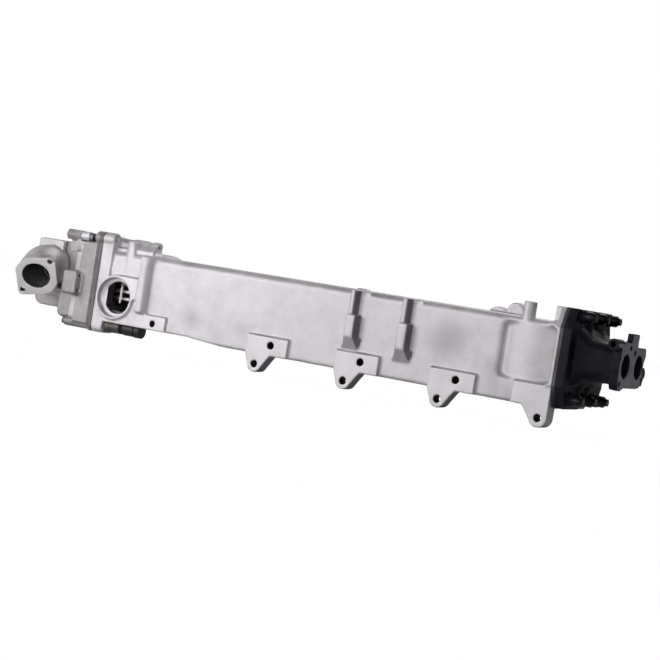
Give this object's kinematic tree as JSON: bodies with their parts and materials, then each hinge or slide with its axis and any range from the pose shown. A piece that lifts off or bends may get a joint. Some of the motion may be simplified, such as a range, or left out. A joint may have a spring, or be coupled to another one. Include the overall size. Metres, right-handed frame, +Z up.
{
  "type": "exhaust gas recirculation cooler",
  "caption": "Long cast exhaust gas recirculation cooler with a flat tube core, a twin port gas inlet manifold, an outlet elbow and a row of bolt lugs",
  "frame": {"origin": "middle of the lower lug bolt row, on the machined lug face", "axes": "+X along the cooler towards the hot gas inlet, +Y away from the lug face into the jacket, +Z up"},
  "size_m": [1.0317, 0.2035, 0.1766],
  "materials": {
    "cast_aluminium": "shot blasted",
    "cover_aluminium": "as cast",
    "black_iron": "painted black",
    "stainless": "bright",
    "zinc_steel": "plated",
    "dark_steel": "black oxide",
    "gasket": "matte",
    "seal_rubber": "matte",
    "cap_plastic": "matte"
  },
  "bodies": {
    "root": {"cooler_housing": "cast_aluminium", "front_tube_stack": "stainless", "rear_tube_stack": "stainless", "hot_header_plate": "stainless", "cold_header": "stainless", "cold_header_seal": "seal_rubber", "tube_grids": "stainless", "hot_gasket": "gasket", "gas_inlet_manifold": "black_iron", "manifold_sleeves": "zinc_steel", "manifold_bolts": "dark_steel", "cover_gasket": "gasket", "gas_outlet_cover": "cover_aluminium", "cover_bolts": "dark_steel", "top_spacer_sleeve": "zinc_steel", "top_cap_screw": "dark_steel", "elbow_gasket": "gasket", "outlet_elbow": "cover_aluminium", "elbow_bolts": "dark_steel", "drain_fitting": "zinc_steel", "drain_nut": "dark_steel", "drain_cap": "cap_plastic"}
  },
  "joints": []
}
